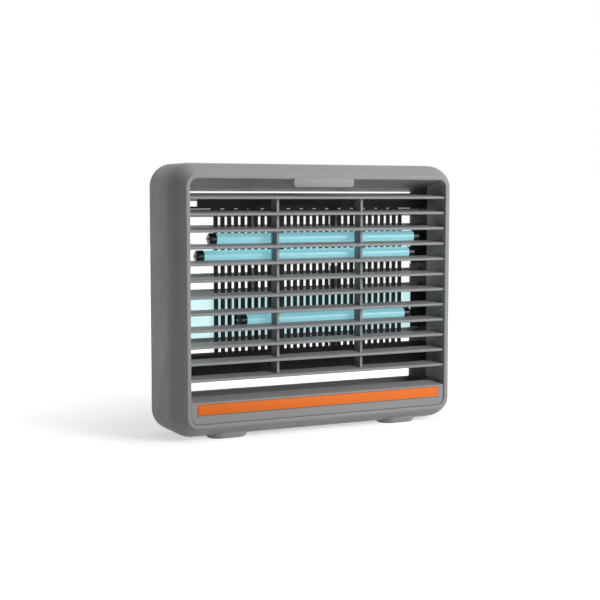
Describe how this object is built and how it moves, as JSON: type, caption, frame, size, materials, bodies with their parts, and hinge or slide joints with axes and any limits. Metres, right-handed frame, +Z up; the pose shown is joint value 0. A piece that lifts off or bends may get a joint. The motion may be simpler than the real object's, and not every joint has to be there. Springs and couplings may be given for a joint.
{
  "type": "electric bug zapper",
  "caption": "Free-standing electric bug zapper: rounded grey housing with louvres front and back, ultraviolet tubes, a black electrode grid and a pull-out collecting tray.",
  "frame": {"origin": "on the standing surface, midway across the width and the depth", "axes": "+X along the width, to the right seen from the front; front faces -Y; +Z up"},
  "size_m": [0.3752, 0.086, 0.32],
  "materials": {
    "grey_housing": "fine satin texture",
    "black_plastic": "matt",
    "black_electrode": "black coated steel",
    "white_reflector": "white enamel",
    "lamp_glass": "phosphor-coated tube",
    "lamp_cap": "black",
    "pin_metal": "plated",
    "orange_strip": "satin",
    "foot_grey": "satin",
    "foot_rubber": "matt",
    "circuit_board": "green laminate",
    "component_case": "moulded case",
    "transformer": "wound bobbin",
    "capacitor": "sleeved can",
    "fuse_ceramic": "ceramic",
    "wire_red": "insulated wire",
    "wire_brown": "insulated wire",
    "wire_black": "insulated wire",
    "screw_steel": "zinc plated"
  },
  "bodies": {
    "root": {"housing": "grey_housing", "rear_cover": "grey_housing", "front_slats": "grey_housing", "front_ribs": "grey_housing", "rear_slats": "grey_housing", "rear_ribs": "grey_housing", "inner_frame": "black_plastic", "grid_top_rail": "black_plastic", "grid_bottom_rail": "black_plastic", "return_comb": "black_electrode", "live_comb": "black_electrode", "upper_reflector": "white_reflector", "lower_reflector": "white_reflector", "lamp_post_left": "black_plastic", "lamp_post_right": "black_plastic", "upper_lamp_glass": "lamp_glass", "middle_lamp_glass": "lamp_glass", "lower_lamp_glass": "lamp_glass", "upper_lamp_caps": "lamp_cap", "middle_lamp_caps": "lamp_cap", "lower_lamp_caps": "lamp_cap", "upper_lamp_pins": "pin_metal", "middle_lamp_pins": "pin_metal", "lower_lamp_pins": "pin_metal", "lamp_wiring": "wire_black", "front_foot_left": "foot_grey", "front_foot_right": "foot_grey", "rear_foot_left": "foot_rubber", "rear_foot_right": "foot_rubber", "control_board": "circuit_board", "hv_transformer": "transformer", "lamp_ballast": "component_case", "board_capacitors": "capacitor", "fuse": "fuse_ceramic", "hv_leads": "wire_red", "mains_wiring": "wire_brown", "inlet_socket": "black_plastic", "inlet_pins": "pin_metal", "switch_body": "black_plastic", "cover_screws": "screw_steel", "frame_screws": "screw_steel"},
    "tray": {"collecting_tray": "grey_housing", "tray_strip": "orange_strip"},
    "rocker": {"power_rocker": "black_plastic"}
  },
  "joints": [
    {"name": "tray_slide", "type": "slide", "parent": "root", "child": "tray", "axis": [0, -1, 0], "range_m": [0, 0.06]},
    {"name": "power_rocker_tilt", "type": "hinge", "parent": "root", "child": "rocker", "pos_m": [0.11, 0.035, 0.0325], "axis": [0, 0, 1], "range_deg": [-20, 0]}
  ]
}
